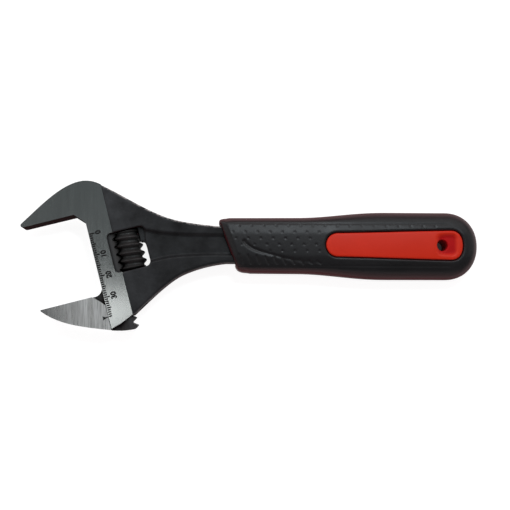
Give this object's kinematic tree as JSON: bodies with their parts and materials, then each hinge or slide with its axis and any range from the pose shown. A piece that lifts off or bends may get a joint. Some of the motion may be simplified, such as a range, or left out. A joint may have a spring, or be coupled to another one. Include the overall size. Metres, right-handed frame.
{
  "type": "adjustable wrench",
  "caption": "Adjustable wrench with a wide worm-driven sliding jaw, etched millimetre scale and a soft two-material grip with a hanging hole.",
  "frame": {"origin": "centre of the hanging hole, halfway through the thickness", "axes": "+X along the handle to the butt end, the jaws at -X; +Y to the fixed-jaw side; +Z out of the scale face that looks up when the wrench lies flat"},
  "size_m": [0.2136, 0.0693, 0.0156],
  "materials": {
    "black_steel": "black phosphated forging, ground jaws",
    "ground_steel": "ground",
    "worm_steel": "black phosphated",
    "pin_steel": "turned",
    "spring_steel": "drawn wire",
    "red_plastic": "satin hard plastic",
    "black_rubber": "soft moulded grip"
  },
  "bodies": {
    "frame": {"body": "black_steel", "worm_pin": "pin_steel", "worm_spring": "spring_steel", "grip_core": "red_plastic", "grip_sleeve": "black_rubber"},
    "jaw": {"movable_jaw": "ground_steel"},
    "knurl": {"worm": "worm_steel"}
  },
  "joints": [
    {"name": "jaw_slide", "type": "slide", "parent": "frame", "child": "jaw", "axis": [0.247, -0.969, 0], "range_m": [-0.03895, 0.001]},
    {"name": "worm_spin", "type": "hinge", "parent": "frame", "child": "knurl", "pos_m": [-0.14588, -0.00221, 0], "axis": [0.247, -0.969, 0], "range_deg": [-3880, 105]}
  ],
  "couplings": [
    {"joint": "worm_spin", "follows": "jaw_slide", "rad_per_m": 1735.7}
  ]
}
